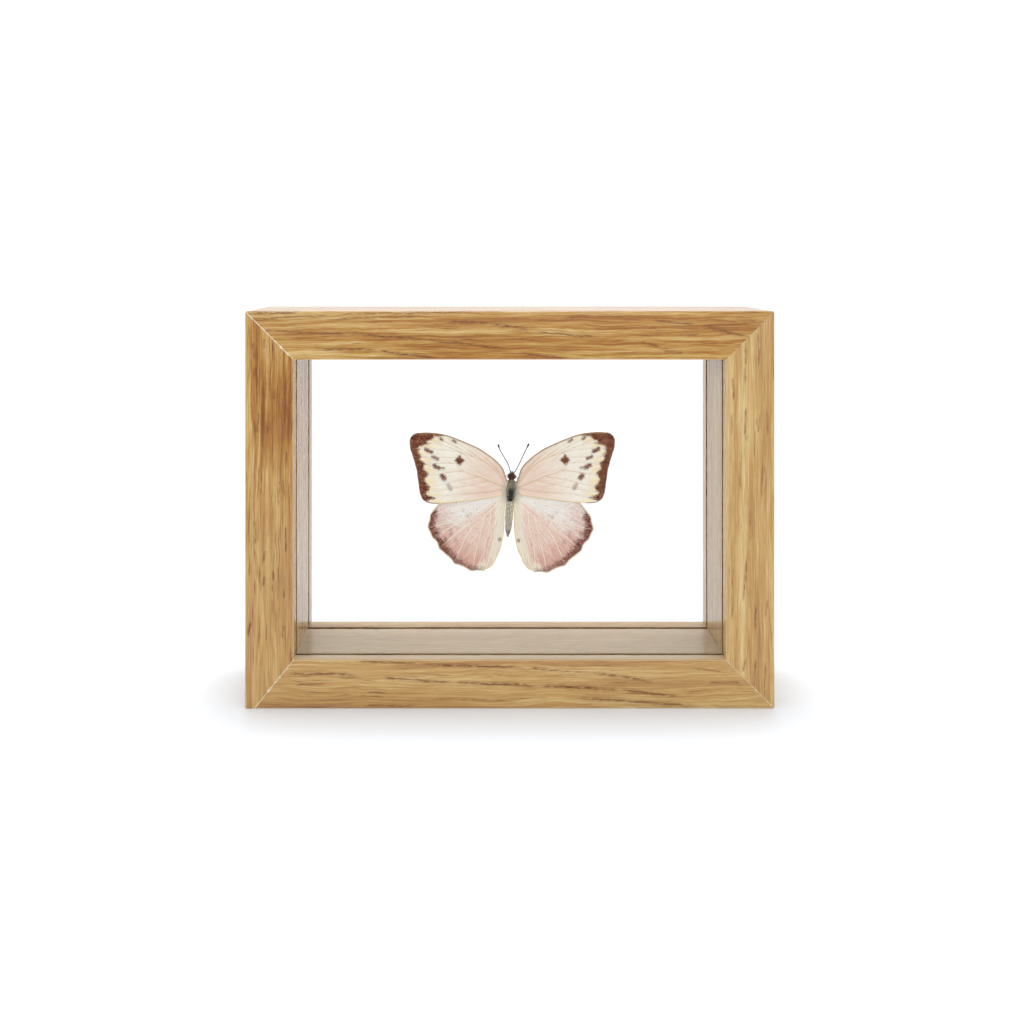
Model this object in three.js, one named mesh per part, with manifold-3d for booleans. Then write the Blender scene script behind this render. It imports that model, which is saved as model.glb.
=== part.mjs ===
// A framed butterfly specimen: four mitred oak rails, a glass pane near the front and one near the
// back, and a spread butterfly between them, glued by its thorax to the inner face of the back pane.
// Millimetres, +Z up, the front looks along -Y. The origin is the middle of the footprint.
import * as THREE from "three";
import { mergeVertices } from "three/addons/utils/BufferGeometryUtils.js";
import Module from "manifold-3d";

const wasm = await Module();
wasm.setup();

// Frame
const frameWidth = 180;
const frameHeight = 135;
const frameDepth = 36.5;
const railWidth = 16.5; // width of the wood as seen from the front
const arrisRadius = 0.4; // the eased long edges of a rail
const cornerRadius = 0.8; // the rounded outer corners of the frame
const seamOffset = 3.2; // the bottom left seam starts this far along the bottom from its corner
const gap = 0.3; // between pieces that touch, such as two mitred ends

// Panes and the grooves that hold them
const frontLip = 4.1; // wood in front of the front groove
const backLip = 5.6; // wood behind the back groove
const grooveWidth = 2.6;
const grooveDepth = 5;
const paneThickness = 2;
const paneEngagement = 4.4; // how far a pane reaches into the groove on each side

// Specimen
const butterflyPlace = { x: 1.6, z: 69 }; // the wings' middle at the thorax, seen from the front
const bodyLean = 3.7; // degrees, the abdomen's tip towards the left
const bodyShift = -0.55; // the thorax stands this far left of the wings' middle
const bodyThickening = 1.15; // the body is deeper than it is wide
const thoraxUnderside = 2.2; // from the body's axis to the flat that the glue holds
const glueDabDepth = 1; // off the back pane
const glueHeight = -0.7; // the dab's middle, from the thorax's middle
const eyeRadius = 0.75;
const palpRadius = 0.36;
const legDiameter = 0.44;
const antennaDiameter = 0.36;
const clubDiameter = 0.58;
const clubLength = 2.2;
const wingThickness = 0.4;
const wingSize = 0.992; // of the outlines below
const wingReach = 37; // from the midline to a forewing's tip
const rootRise = 1.1; // a wing's root lies this far in front of the body's axis
const tipRise = 1.4; // and its tip this much further
const wingCamber = 0.5;
const hindwingDrop = 0.9; // the hindwings lie this far behind the forewings

// Colours
const oakColour = 0xbf965f;
const glassColour = 0xe6f0ec;
const glueColour = 0xf2ead2;
const wingColour = 0xead9cc;
const bodyColour = 0x4a4238;
const antennaColour = 0x4b2f25;

// Closed geometry as a solid, for cutting and joining.
function solidOf(geometry) {
  const bare = geometry.clone();
  bare.deleteAttribute("normal");
  bare.deleteAttribute("uv");
  const merged = mergeVertices(bare, 1e-4);
  return new wasm.Manifold(
    new wasm.Mesh({
      numProp: 3,
      vertProperties: merged.attributes.position.array,
      triVerts: new Uint32Array(merged.index.array),
    }),
  );
}

// A solid as geometry with flat faces.
function geometryOf(solid) {
  const mesh = solid.getMesh();
  const indexed = new THREE.BufferGeometry();
  indexed.setAttribute("position", new THREE.BufferAttribute(mesh.vertProperties, 3));
  indexed.setIndex(new THREE.BufferAttribute(mesh.triVerts, 1));
  const geometry = indexed.toNonIndexed();
  geometry.computeVertexNormals();
  return geometry;
}

function piece(name, geometry, material) {
  const mesh = new THREE.Mesh(geometry, material);
  mesh.name = name;
  return mesh;
}

const oak = new THREE.MeshStandardMaterial({ color: oakColour, roughness: 0.6, metalness: 0 });
const glass = new THREE.MeshStandardMaterial({
  color: glassColour,
  roughness: 0.03,
  metalness: 0,
  transparent: true,
  opacity: 0.2,
});
const glue = new THREE.MeshStandardMaterial({
  color: glueColour,
  roughness: 0.2,
  metalness: 0,
  transparent: true,
  opacity: 0.6,
});
const scales = new THREE.MeshStandardMaterial({ color: wingColour, roughness: 0.8, metalness: 0 });
const fur = new THREE.MeshStandardMaterial({ color: bodyColour, roughness: 0.9, metalness: 0 });
const horn = new THREE.MeshStandardMaterial({ color: antennaColour, roughness: 0.5, metalness: 0 });

// Section of a rail: x is the distance in from the frame's outer face, y runs from front to back.
function railSection() {
  const front = -frameDepth / 2;
  const back = frameDepth / 2;
  const r = arrisRadius;
  const section = new THREE.Shape();
  section.moveTo(r, front);
  section.lineTo(railWidth - r, front);
  section.absarc(railWidth - r, front + r, r, -Math.PI / 2, 0);
  for (const grooveFront of [front + frontLip, back - backLip - grooveWidth]) {
    section.lineTo(railWidth, grooveFront);
    section.lineTo(railWidth - grooveDepth, grooveFront);
    section.lineTo(railWidth - grooveDepth, grooveFront + grooveWidth);
    section.lineTo(railWidth, grooveFront + grooveWidth);
  }
  section.absarc(railWidth - r, back - r, r, 0, Math.PI / 2);
  section.lineTo(r, back);
  section.absarc(r, back - r, r, Math.PI / 2, Math.PI);
  section.absarc(r, front + r, r, Math.PI, 1.5 * Math.PI);
  return section;
}

// An outline in x and z as a block that reaches past both faces of the frame.
function blockOf(outline) {
  const depth = frameDepth + 2;
  const block = new THREE.ExtrudeGeometry(outline, { depth, bevelEnabled: false, curveSegments: 4 });
  return block.translate(0, 0, -depth / 2).rotateX(Math.PI / 2);
}

// The whole frame's outline as a block, with this rail's outer face on z = 0.
function frameBlock(length, across) {
  const half = length / 2;
  const r = cornerRadius;
  const outline = new THREE.Shape();
  outline.absarc(half - r, r, r, -Math.PI / 2, 0);
  outline.absarc(half - r, across - r, r, 0, Math.PI / 2);
  outline.absarc(r - half, across - r, r, Math.PI / 2, Math.PI);
  outline.absarc(r - half, r, r, Math.PI, 1.5 * Math.PI);
  return blockOf(outline);
}

// A seam leaves its corner by a step along the rail's length or across its width, and meets the
// other seams' line at the inner corner. This is how far in from the rail's end the wood stops.
function seamInset(z, { alongRail, acrossRail }) {
  const slope = (railWidth - alongRail) / (railWidth - acrossRail);
  return alongRail + (z - acrossRail) * slope + (gap / 2) * Math.hypot(1, slope);
}

// What lies between a rail's two seams.
function seamBlock(length, [start, end]) {
  const half = length / 2;
  const low = -1;
  const high = railWidth + 1;
  const outline = new THREE.Shape();
  outline.moveTo(seamInset(low, start) - half, low);
  outline.lineTo(half - seamInset(low, end), low);
  outline.lineTo(half - seamInset(high, end), high);
  outline.lineTo(seamInset(high, start) - half, high);
  return blockOf(outline);
}

// A rail lies along x with its outer face on z = 0, and is cut to its seams at both ends.
function railGeometry(length, across, seams) {
  const rail = new THREE.ExtrudeGeometry(railSection(), {
    depth: length,
    bevelEnabled: false,
    curveSegments: 3,
  });
  rail.translate(0, 0, -length / 2).rotateY(-Math.PI / 2);
  const outline = solidOf(frameBlock(length, across)).intersect(solidOf(seamBlock(length, seams)));
  return geometryOf(solidOf(rail).intersect(outline));
}

const corner = { alongRail: 0, acrossRail: 0 };

function railNamed(name, length, across, x, z, turn, seams = [corner, corner]) {
  const rail = piece(name, railGeometry(length, across, seams), oak);
  rail.position.set(x, 0, z);
  rail.rotation.y = THREE.MathUtils.degToRad(turn);
  return rail;
}

function woodenFrame() {
  const group = new THREE.Group();
  const side = frameWidth / 2;
  const middle = frameHeight / 2;
  const bottomSeams = [{ alongRail: seamOffset, acrossRail: 0 }, corner];
  const leftSeams = [corner, { alongRail: 0, acrossRail: seamOffset }];
  group.add(
    railNamed("bottom_rail", frameWidth, frameHeight, 0, 0, 0, bottomSeams),
    railNamed("top_rail", frameWidth, frameHeight, 0, frameHeight, 180),
    railNamed("left_rail", frameHeight, frameWidth, -side, middle, 90, leftSeams),
    railNamed("right_rail", frameHeight, frameWidth, side, middle, -90),
  );
  return group;
}

// A pane stands on the floor of the bottom groove, in the middle of the groove's width.
function paneNamed(name, middle) {
  const width = frameWidth - 2 * (railWidth - paneEngagement);
  const bottom = railWidth - grooveDepth;
  const height = frameHeight - railWidth + paneEngagement - bottom;
  const pane = piece(name, new THREE.BoxGeometry(width, paneThickness, height), glass);
  pane.position.set(0, middle, bottom + height / 2);
  return pane;
}

const frontGrooveMiddle = -frameDepth / 2 + frontLip + grooveWidth / 2;
const backGrooveMiddle = frameDepth / 2 - backLip - grooveWidth / 2;
const backPaneFace = backGrooveMiddle - paneThickness / 2;

// Wing outlines, from the costal root round the tip: [outwards from the midline, upwards].
const forewingOutline = [
  [1.4, 1.8], [2.2, 4.6], [3.2, 7.5], [4.9, 9.7], [8.2, 12.6], [11.8, 15], [17.3, 17.6],
  [22.8, 19.8], [26.4, 20.6], [30.1, 21], [33.7, 20.9], [35.9, 20.3], [37, 19.1], [37.3, 17.5],
  [37, 15], [36.1, 12.2], [34.8, 7.3], [34.1, 2.6], [33.5, -1.1], [32.6, -3.2], [30.8, -4.5],
  [26.4, -4.9], [19.1, -4.3], [10.7, -3.4], [5.6, -2.6], [1.6, -1.3],
];
const hindwingOutline = [
  [1.6, -1.8], [3.8, -1.2], [7.6, -0.5], [13.6, -0.2], [20.2, -1.5], [25, -3.5], [27.7, -5.9],
  [29.3, -8], [30.3, -10.6], [30.9, -13], [30, -16.1], [27.8, -19.3], [26.1, -22.3], [23.1, -25],
  [20.9, -27.1], [18, -28.4], [15.5, -29.6], [11.8, -29.7], [8.5, -29], [6.7, -27.2],
  [5.6, -24.9], [4.3, -21.8], [3.4, -17.9], [3, -13.9], [2.9, -9.1], [2.6, -5.5], [1.7, -3.6],
];
const outlineSteps = 64;
const rings = 3;

// How each wing settled when it was spread: drawn out flatter or less so, turned in degrees about
// the thorax, then moved.
const forewing = { outline: forewingOutline, drop: 0, stretch: 1, turn: 0 };
const hindwing = { outline: hindwingOutline, drop: hindwingDrop };
const wings = {
  left_forewing: { ...forewing, side: -1, outwards: 0.2, up: 0 },
  right_forewing: { ...forewing, side: 1, outwards: 0, up: 0.2 },
  left_hindwing: { ...hindwing, side: -1, stretch: 1, turn: 0, outwards: 0, up: 0 },
  right_hindwing: { ...hindwing, side: 1, stretch: 1.035, turn: 0.8, outwards: -2.3, up: -0.4 },
};

// How far in front of the body's axis a wing's middle surface lies: low at the root, raised outwards.
function wingRise(outwards) {
  const reach = Math.min(1, Math.max(0, outwards / wingReach));
  return rootRise + tipRise * reach + wingCamber * Math.sin(Math.PI * reach);
}

// A thin shell over an outline, lofted in rings from its middle to its edge on both faces.
function wingSolid({ outline, drop, side, stretch, turn, outwards, up }) {
  const sized = ([x, z]) => new THREE.Vector3(wingSize * stretch * x, 0, wingSize * z);
  const corners = outline.map(sized);
  const edge = new THREE.CatmullRomCurve3(corners, true, "centripetal").getSpacedPoints(outlineSteps);
  edge.pop();
  const middle = new THREE.Vector3();
  edge.forEach((p) => middle.addScaledVector(p, 1 / edge.length));
  const hinge = new THREE.Vector3(0, 1, 0);
  const places = [];
  const put = (point, face) => {
    const settled = point.clone().applyAxisAngle(hinge, THREE.MathUtils.degToRad(turn));
    settled.x += outwards;
    settled.y = drop - wingRise(settled.x) + (face - 0.5) * wingThickness;
    places.push(side * settled.x, settled.y, settled.z + up);
  };
  for (const face of [0, 1]) {
    put(middle, face);
    for (let ring = 1; ring <= rings; ring++) {
      edge.forEach((p) => put(middle.clone().lerp(p, ring / rings), face));
    }
  }
  const count = edge.length;
  const faceStart = 1 + rings * count;
  const at = (face, ring, i) => face * faceStart + 1 + (ring - 1) * count + (i % count);
  const faces = [];
  const add = (a, b, c, turned) => faces.push(...(turned === side > 0 ? [a, b, c] : [a, c, b]));
  for (let i = 0; i < count; i++) {
    for (const face of [0, 1]) {
      const turned = face === 1;
      add(face * faceStart, at(face, 1, i), at(face, 1, i + 1), turned);
      for (let ring = 1; ring < rings; ring++) {
        add(at(face, ring, i), at(face, ring + 1, i), at(face, ring + 1, i + 1), turned);
        add(at(face, ring, i), at(face, ring + 1, i + 1), at(face, ring, i + 1), turned);
      }
    }
    add(at(0, rings, i), at(1, rings, i), at(1, rings, i + 1), false);
    add(at(0, rings, i), at(1, rings, i + 1), at(0, rings, i + 1), false);
  }
  const shell = new THREE.BufferGeometry();
  shell.setAttribute("position", new THREE.Float32BufferAttribute(places, 3));
  shell.setIndex(faces);
  return solidOf(shell);
}

// Body profile from the abdomen's tip to the top of the head: [radius, distance along the axis].
const bodyProfile = [
  [0, -18], [0.45, -17.4], [0.85, -15.6], [1.15, -12.6], [1.35, -8.6], [1.3, -5.6], [1.15, -4.5],
  [1.6, -3.7], [1.95, -1.8], [2.05, 0.3], [1.75, 2.2], [0.95, 3.3], [1.15, 3.8], [1.2, 4.6],
  [0.9, 5.4], [0.4, 5.75], [0, 5.8],
];
const bodySides = 20;

// The head, thorax and abdomen in one, grown by a margin where they serve as a cutter.
function torso(margin) {
  const grown = ([radius, along]) => new THREE.Vector2(radius ? radius + margin : 0, along);
  const lathe = new THREE.LatheGeometry(bodyProfile.map(grown), bodySides);
  lathe.rotateX(Math.PI / 2).scale(1, bodyThickening, 1);
  return solidOf(lathe);
}

// A tube of even thickness along a smooth path of [x, y, z] points.
function tube(points, diameter, steps) {
  const path = new THREE.CatmullRomCurve3(points.map((p) => new THREE.Vector3(...p)));
  const section = new THREE.Shape();
  section.absarc(0, 0, diameter / 2, 0, 2 * Math.PI);
  const extruded = new THREE.ExtrudeGeometry(section, {
    steps,
    extrudePath: path,
    curveSegments: 4,
  });
  return solidOf(extruded);
}

function compoundEye(side) {
  const eye = new THREE.SphereGeometry(eyeRadius, 12, 8);
  return solidOf(eye.translate(side * 0.68, -0.1, 4.55));
}

// The palps stick out in front of the head, side by side.
function palp(side) {
  const ball = new THREE.SphereGeometry(palpRadius, 10, 8);
  return solidOf(ball.scale(1, 1, 2).translate(side * 0.34, 0.3, 5.6));
}

// Three pairs of legs folded under the thorax, on the side away from the viewer.
const legPaths = [
  [[0.8, 1.2, 1.6], [2.3, 1.9, 2.6], [1.9, 2.3, 4], [0.7, 2.4, 5]],
  [[1.1, 1.2, 0.8], [3.2, 1.9, 0.5], [4.4, 2.3, -1], [4.7, 2.4, -4.6]],
  [[1, 1.2, -2.2], [2.7, 1.9, -3.6], [3.2, 2.2, -7.4], [3.7, 2.4, -11.2]],
];

function leg(path, side) {
  return tube(path.map(([x, y, z]) => [side * x, y, z]), legDiameter, 10);
}

// Antennae from inside the head to the tip of the club, along the body's own axis.
const antennaPaths = [
  [[-0.3, -0.4, 5.2], [-1.6, -0.9, 8.9], [-3.3, -1.2, 11.6], [-4.8, -1.4, 13.9], [-5.8, -1.5, 16.2]],
  [[0.4, -0.4, 5.2], [1.7, -0.9, 7.7], [2.8, -1.2, 10.4], [3.8, -1.4, 13.1], [5.5, -1.5, 17.2]],
];

function antenna(points) {
  const [before, tip] = points.slice(-2).map((p) => new THREE.Vector3(...p));
  const along = tip.clone().sub(before).normalize();
  const club = new THREE.CapsuleGeometry(clubDiameter / 2, clubLength, 4, 10);
  club.applyQuaternion(new THREE.Quaternion().setFromUnitVectors(new THREE.Vector3(0, 1, 0), along));
  const middle = tip.clone().addScaledVector(along, -clubLength / 2);
  club.translate(...middle.toArray());
  return tube(points, antennaDiameter, 14).add(solidOf(club));
}

// The body grew as one: head, thorax, abdomen, eyes, palps, legs and antennae.
function bodySolid() {
  let body = torso(0);
  for (const side of [-1, 1]) {
    body = body.add(compoundEye(side)).add(palp(side));
    legPaths.forEach((path) => {
      body = body.add(leg(path, side));
    });
  }
  antennaPaths.forEach((points) => {
    body = body.add(antenna(points));
  });
  const flat = new THREE.BoxGeometry(3.4, 1, 3.8); // the glue holds a flat under the thorax
  return body.subtract(solidOf(flat.translate(0, thoraxUnderside + 0.5, glueHeight)));
}

function butterfly() {
  const group = new THREE.Group();
  const axisToPane = thoraxUnderside + gap + glueDabDepth;
  group.position.set(butterflyPlace.x, backPaneFace - axisToPane, butterflyPlace.z);
  const body = piece("body", geometryOf(bodySolid()), fur);
  body.position.x = bodyShift;
  body.rotation.y = THREE.MathUtils.degToRad(bodyLean);
  group.add(body);
  const cutter = torso(gap).rotate([0, bodyLean, 0]).translate([bodyShift, 0, 0]);
  for (const [name, wing] of Object.entries(wings)) {
    group.add(piece(name, geometryOf(wingSolid(wing).subtract(cutter)), scales));
  }
  return group;
}

// A low round dab between the back pane and the thorax.
function glueDab() {
  const profile = [[0, 0], [1.9, 0], [1.8, 0.5], [1.5, glueDabDepth], [0, glueDabDepth]];
  const dab = new THREE.LatheGeometry(profile.map(([r, y]) => new THREE.Vector2(r, y)), 20);
  const mesh = piece("glue_dab", dab, glue);
  mesh.rotation.x = Math.PI;
  mesh.position.set(butterflyPlace.x + bodyShift, backPaneFace, butterflyPlace.z + glueHeight);
  return mesh;
}

const specimenFrame = new THREE.Group();
specimenFrame.add(
  woodenFrame(),
  paneNamed("front_glass", frontGrooveMiddle),
  paneNamed("back_glass", backGrooveMiddle),
  glueDab(),
  butterfly(),
);

export default specimenFrame;
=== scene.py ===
import math

import bmesh
import bpy
import numpy as np
from mathutils import Matrix, Vector, noise


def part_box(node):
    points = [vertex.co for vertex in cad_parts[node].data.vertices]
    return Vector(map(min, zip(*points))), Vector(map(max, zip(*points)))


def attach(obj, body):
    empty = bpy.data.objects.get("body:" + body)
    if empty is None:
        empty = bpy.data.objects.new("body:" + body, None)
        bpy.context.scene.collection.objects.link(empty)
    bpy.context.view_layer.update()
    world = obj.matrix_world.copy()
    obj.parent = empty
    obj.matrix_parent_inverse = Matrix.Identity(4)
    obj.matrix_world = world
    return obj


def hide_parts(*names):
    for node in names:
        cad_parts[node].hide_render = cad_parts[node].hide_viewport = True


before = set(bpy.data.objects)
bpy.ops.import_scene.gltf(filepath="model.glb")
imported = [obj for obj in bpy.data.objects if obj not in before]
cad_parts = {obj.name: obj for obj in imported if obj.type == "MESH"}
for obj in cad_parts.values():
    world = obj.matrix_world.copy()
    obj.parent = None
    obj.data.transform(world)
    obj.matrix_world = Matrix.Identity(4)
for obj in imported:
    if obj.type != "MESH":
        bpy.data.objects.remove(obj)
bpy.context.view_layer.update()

mm = 0.001


# Shader maths

class Socket:
    # a node's output, so that an expression on sockets adds the nodes that work it out
    def __init__(self, tree, output=None):
        self.tree = tree
        self.output = output

    # any other node: its settings first, then the values or links of its sockets
    def node(self, kind, settings=None, sockets=None, out=0):
        made = self.tree.nodes.new(kind)
        for name, value in (settings or {}).items():
            if name == "stops":
                setStops(made.color_ramp, value)
            else:
                setattr(made, name, value)
        for key, value in (sockets or {}).items():
            if isinstance(value, Socket):
                self.tree.links.new(value.output, made.inputs[key])
            else:
                made.inputs[key].default_value = value
        return Socket(self.tree, made.outputs[out] if made.outputs else None)

    def other(self, out):
        return Socket(self.tree, self.output.node.outputs[out])

    def maths(self, operation, *values):
        return self.node("ShaderNodeMath", {"operation": operation}, dict(enumerate(values)))

    def __add__(self, value):
        return self.maths("ADD", self, value)

    def __radd__(self, value):
        return self.maths("ADD", value, self)

    def __sub__(self, value):
        return self.maths("SUBTRACT", self, value)

    def __rsub__(self, value):
        return self.maths("SUBTRACT", value, self)

    def __mul__(self, value):
        return self.maths("MULTIPLY", self, value)

    def __rmul__(self, value):
        return self.maths("MULTIPLY", value, self)

    def __truediv__(self, value):
        return self.maths("DIVIDE", self, value)

    def __abs__(self):
        return self.maths("ABSOLUTE", self)


def setStops(ramp, stops):
    for place, colour in stops[2:]:
        ramp.elements.new(place)
    for element, (place, colour) in zip(ramp.elements, stops):
        element.position = place
        element.color = screen(*colour)


# a colour as a screen shows it, from 0 to 255, as the linear values that shaders take
def screen(red, green, blue):
    parts = [value / 255 for value in (red, green, blue)]
    return tuple(p / 12.92 if p < 0.04 else ((p + 0.055) / 1.055) ** 2.4 for p in parts) + (1,)


def step(value, low, high):
    # 0 at low, 1 at high, with a soft change between them; low may be the larger
    sockets = {0: value, 1: low, 2: high, 3: 0.0, 4: 1.0}
    return value.node("ShaderNodeMapRange", {"interpolation_type": "SMOOTHSTEP"}, sockets)


def mixed(share, first, second):
    shade = next(part for part in (share, first, second) if isinstance(part, Socket))
    return shade.node("ShaderNodeMix", {"data_type": "RGBA"}, {0: share, 6: first, 7: second}, 2)


def vector(x, y, z):
    shade = next(part for part in (x, y, z) if isinstance(part, Socket))
    return shade.node("ShaderNodeCombineXYZ", None, {0: x, 1: y, 2: z})


def grain(place, scale=1.0, detail=2.0, roughness=0.5, twist=0.0):
    sockets = {"Vector": place, "Scale": scale, "Detail": detail, "Roughness": roughness, "Distortion": twist}
    return place.node("ShaderNodeTexNoise", None, sockets)


def ramp(share, stops):
    return share.node("ShaderNodeValToRGB", {"stops": stops}, {0: share})


def field(shade, name):
    return shade.node("ShaderNodeAttribute", {"attribute_name": name}, out=2)


def bump(height, strength, distance):
    sockets = {"Strength": strength, "Distance": distance * mm, "Height": height}
    return height.node("ShaderNodeBump", None, sockets)


# millimetres in the object's own frame
def places(shade):
    coordinates = shade.node("ShaderNodeTexCoord", out=3)
    split = shade.node("ShaderNodeSeparateXYZ", None, {0: coordinates})
    return split * 1000, split.other(1) * 1000, split.other(2) * 1000


def newMaterial(name):
    material = bpy.data.materials.new(name)
    material.use_nodes = True
    material.node_tree.nodes.clear()
    return material, Socket(material.node_tree)


def surface(shade, **sockets):
    named = {name.replace("_", " "): value for name, value in sockets.items()}
    made = shade.node("ShaderNodeBsdfPrincipled", None, named)
    shade.node("ShaderNodeOutputMaterial", None, {"Surface": made})
    return made


# Modelling helpers

def deselectAll():
    if bpy.context.mode != "OBJECT":
        bpy.ops.object.mode_set(mode="OBJECT")
    for thing in bpy.context.selected_objects:
        thing.select_set(False)


def editing(piece, kind):
    deselectAll()
    bpy.context.view_layer.objects.active = piece
    piece.select_set(True)
    bpy.ops.object.mode_set(mode="EDIT")
    bpy.ops.mesh.select_mode(type=kind)


# in edit mode, selects just the faces or edges that pass the test
def choose(piece, kind, test):
    bpy.ops.mesh.select_mode(type=kind)
    bpy.ops.mesh.select_all(action="DESELECT")
    mesh = bmesh.from_edit_mesh(piece.data)
    for part in (mesh.faces if kind == "FACE" else mesh.edges):
        part.select_set(bool(test(part)))
    bmesh.update_edit_mesh(piece.data)


def startPiece(name):
    made = bpy.context.object
    made.name = name
    made.data.name = name
    bpy.ops.object.transform_apply(location=True, rotation=True, scale=True)
    return made


def addBlock(name, low, high):
    deselectAll()
    middle = [(a + b) / 2 * mm for a, b in zip(low, high)]
    size = [(b - a) * mm for a, b in zip(low, high)]
    bpy.ops.mesh.primitive_cube_add(size=1, location=middle, scale=size)
    return startPiece(name)


def pieceOf(name, points, faces):
    mesh = bpy.data.meshes.new(name)
    mesh.from_pydata([tuple(p) for p in points], [], faces)
    mesh.update()
    made = bpy.data.objects.new(name, mesh)
    bpy.context.scene.collection.objects.link(made)
    return made


def dress(piece, material, slot, *replaced):
    if len(piece.data.materials) == 0:
        piece.data.materials.append(material)
    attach(piece, "root")
    if replaced:
        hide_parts(*replaced)


def smoothFaces(piece):
    for face in piece.data.polygons:
        face.use_smooth = True


def keepPoint(name, values, piece):
    attribute = piece.data.attributes.new(name, "FLOAT", "POINT")
    attribute.data.foreach_set("value", np.asarray(values, np.float32))


# Studio

studio = {
    "camera": (-8.9, -342.3, 151.3),
    "lens": 33.53,
    "sensor": 36,
    "shift": (0.0277, -0.2429),
    "behind": 1.15,
    "infront": 1.75,
    "above": 0.8,
    "lamp": (0, 85, 1200),
    "lampSize": (300, 210),
    "lampPower": 5.8,
    "floorBack": 161.5,
    "floorFront": -1500,
    "floorSide": 1300,
    "floorColour": (239, 243, 248),
}


def addCamera():
    deselectAll()
    bpy.ops.object.camera_add(location=[v * mm for v in studio["camera"]], rotation=(math.pi / 2, 0, 0))
    made = bpy.context.object
    made.name = "camera"
    made.data.sensor_width = studio["sensor"]
    made.data.lens = studio["lens"]
    made.data.shift_x, made.data.shift_y = studio["shift"]
    made.data.clip_start = 0.01
    bpy.context.scene.camera = made


def lightRoom():
    world = bpy.data.worlds.new("white_room")
    bpy.context.scene.world = world
    world.use_nodes = True
    world.node_tree.nodes.clear()
    shade = Socket(world.node_tree)
    direction = shade.node("ShaderNodeTexCoord", out=0)
    towards = shade.node("ShaderNodeSeparateXYZ", None, {0: direction}, 1)
    sides = step(towards, -0.8, 0.2) * (studio["behind"] - studio["infront"]) + studio["infront"]
    share = step(towards.other(2), 0.35, 0.85)
    strength = sides * (1 - share) + share * studio["above"]
    light = shade.node("ShaderNodeBackground", None, {"Color": (1, 1, 1, 1), "Strength": strength})
    shade.node("ShaderNodeOutputWorld", None, {"Surface": light})
    bpy.context.scene.view_settings.view_transform = "Standard"


# a soft lamp overhead and a little behind, so that the shadow falls short and to the front
def addLamp():
    deselectAll()
    bpy.ops.object.light_add(type="AREA", location=[v * mm for v in studio["lamp"]])
    lamp = bpy.context.object
    lamp.name = "overhead_lamp"
    lamp.data.shape = "RECTANGLE"
    lamp.data.size, lamp.data.size_y = (v * mm for v in studio["lampSize"])
    lamp.data.energy = studio["lampPower"]


def addFloor():
    deselectAll()
    back, front, side = studio["floorBack"], studio["floorFront"], studio["floorSide"]
    bpy.ops.mesh.primitive_plane_add(size=1, location=(0, (back + front) / 2 * mm, 0))
    floor = bpy.context.object
    floor.scale = (2 * side * mm, (back - front) * mm, 1)
    startPiece("floor")
    material, shade = newMaterial("floor_paper")
    x, y, z = places(shade)
    fibre = grain(vector(x, y, z), 0.4, 3)
    colour = mixed(fibre, screen(*studio["floorColour"]), screen(236, 240, 245))
    surface(shade, Base_Color=colour, Roughness=0.9)
    floor.data.materials.append(material)


# Oak frame

oakFrame = {
    "width": 180,
    "height": 135,
    "depth": 36.5,
    "rail": 16.5,
    "arris": 0.4,
    "corner": 0.8,
    "frontLip": 4.1,
    "backLip": 5.6,
    "groove": 2.6,
    "grooveDepth": 5,
    "spare": 6,       # cut off with the mitres
    "slices": 210,    # along a rail, for the ragged edges of its grooves
    "ragged": 0.1,
    "joint": 0.02,    # between mitred ends
    "paintedLightTo": (14, 10),      # the painted light on the faces round the opening fades out between these depths
    "finish": {"Specular_IOR_Level": 0.2, "Coat_Weight": 0.35, "Coat_Roughness": 0.16},
}

# a corner's seam: how far from the corner it starts on the bottom or top face, how white its glue
# is, and how wide
seams = {
    "topLeft": {"foot": 0, "white": 1, "width": 0.14},
    "topRight": {"foot": 0, "white": 0.25, "width": 0.1},
    "bottomLeft": {"foot": 3.2, "white": 0.9, "width": 0.12},
    "bottomRight": {"foot": 0, "white": 0.5, "width": 0.1},
}
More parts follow.
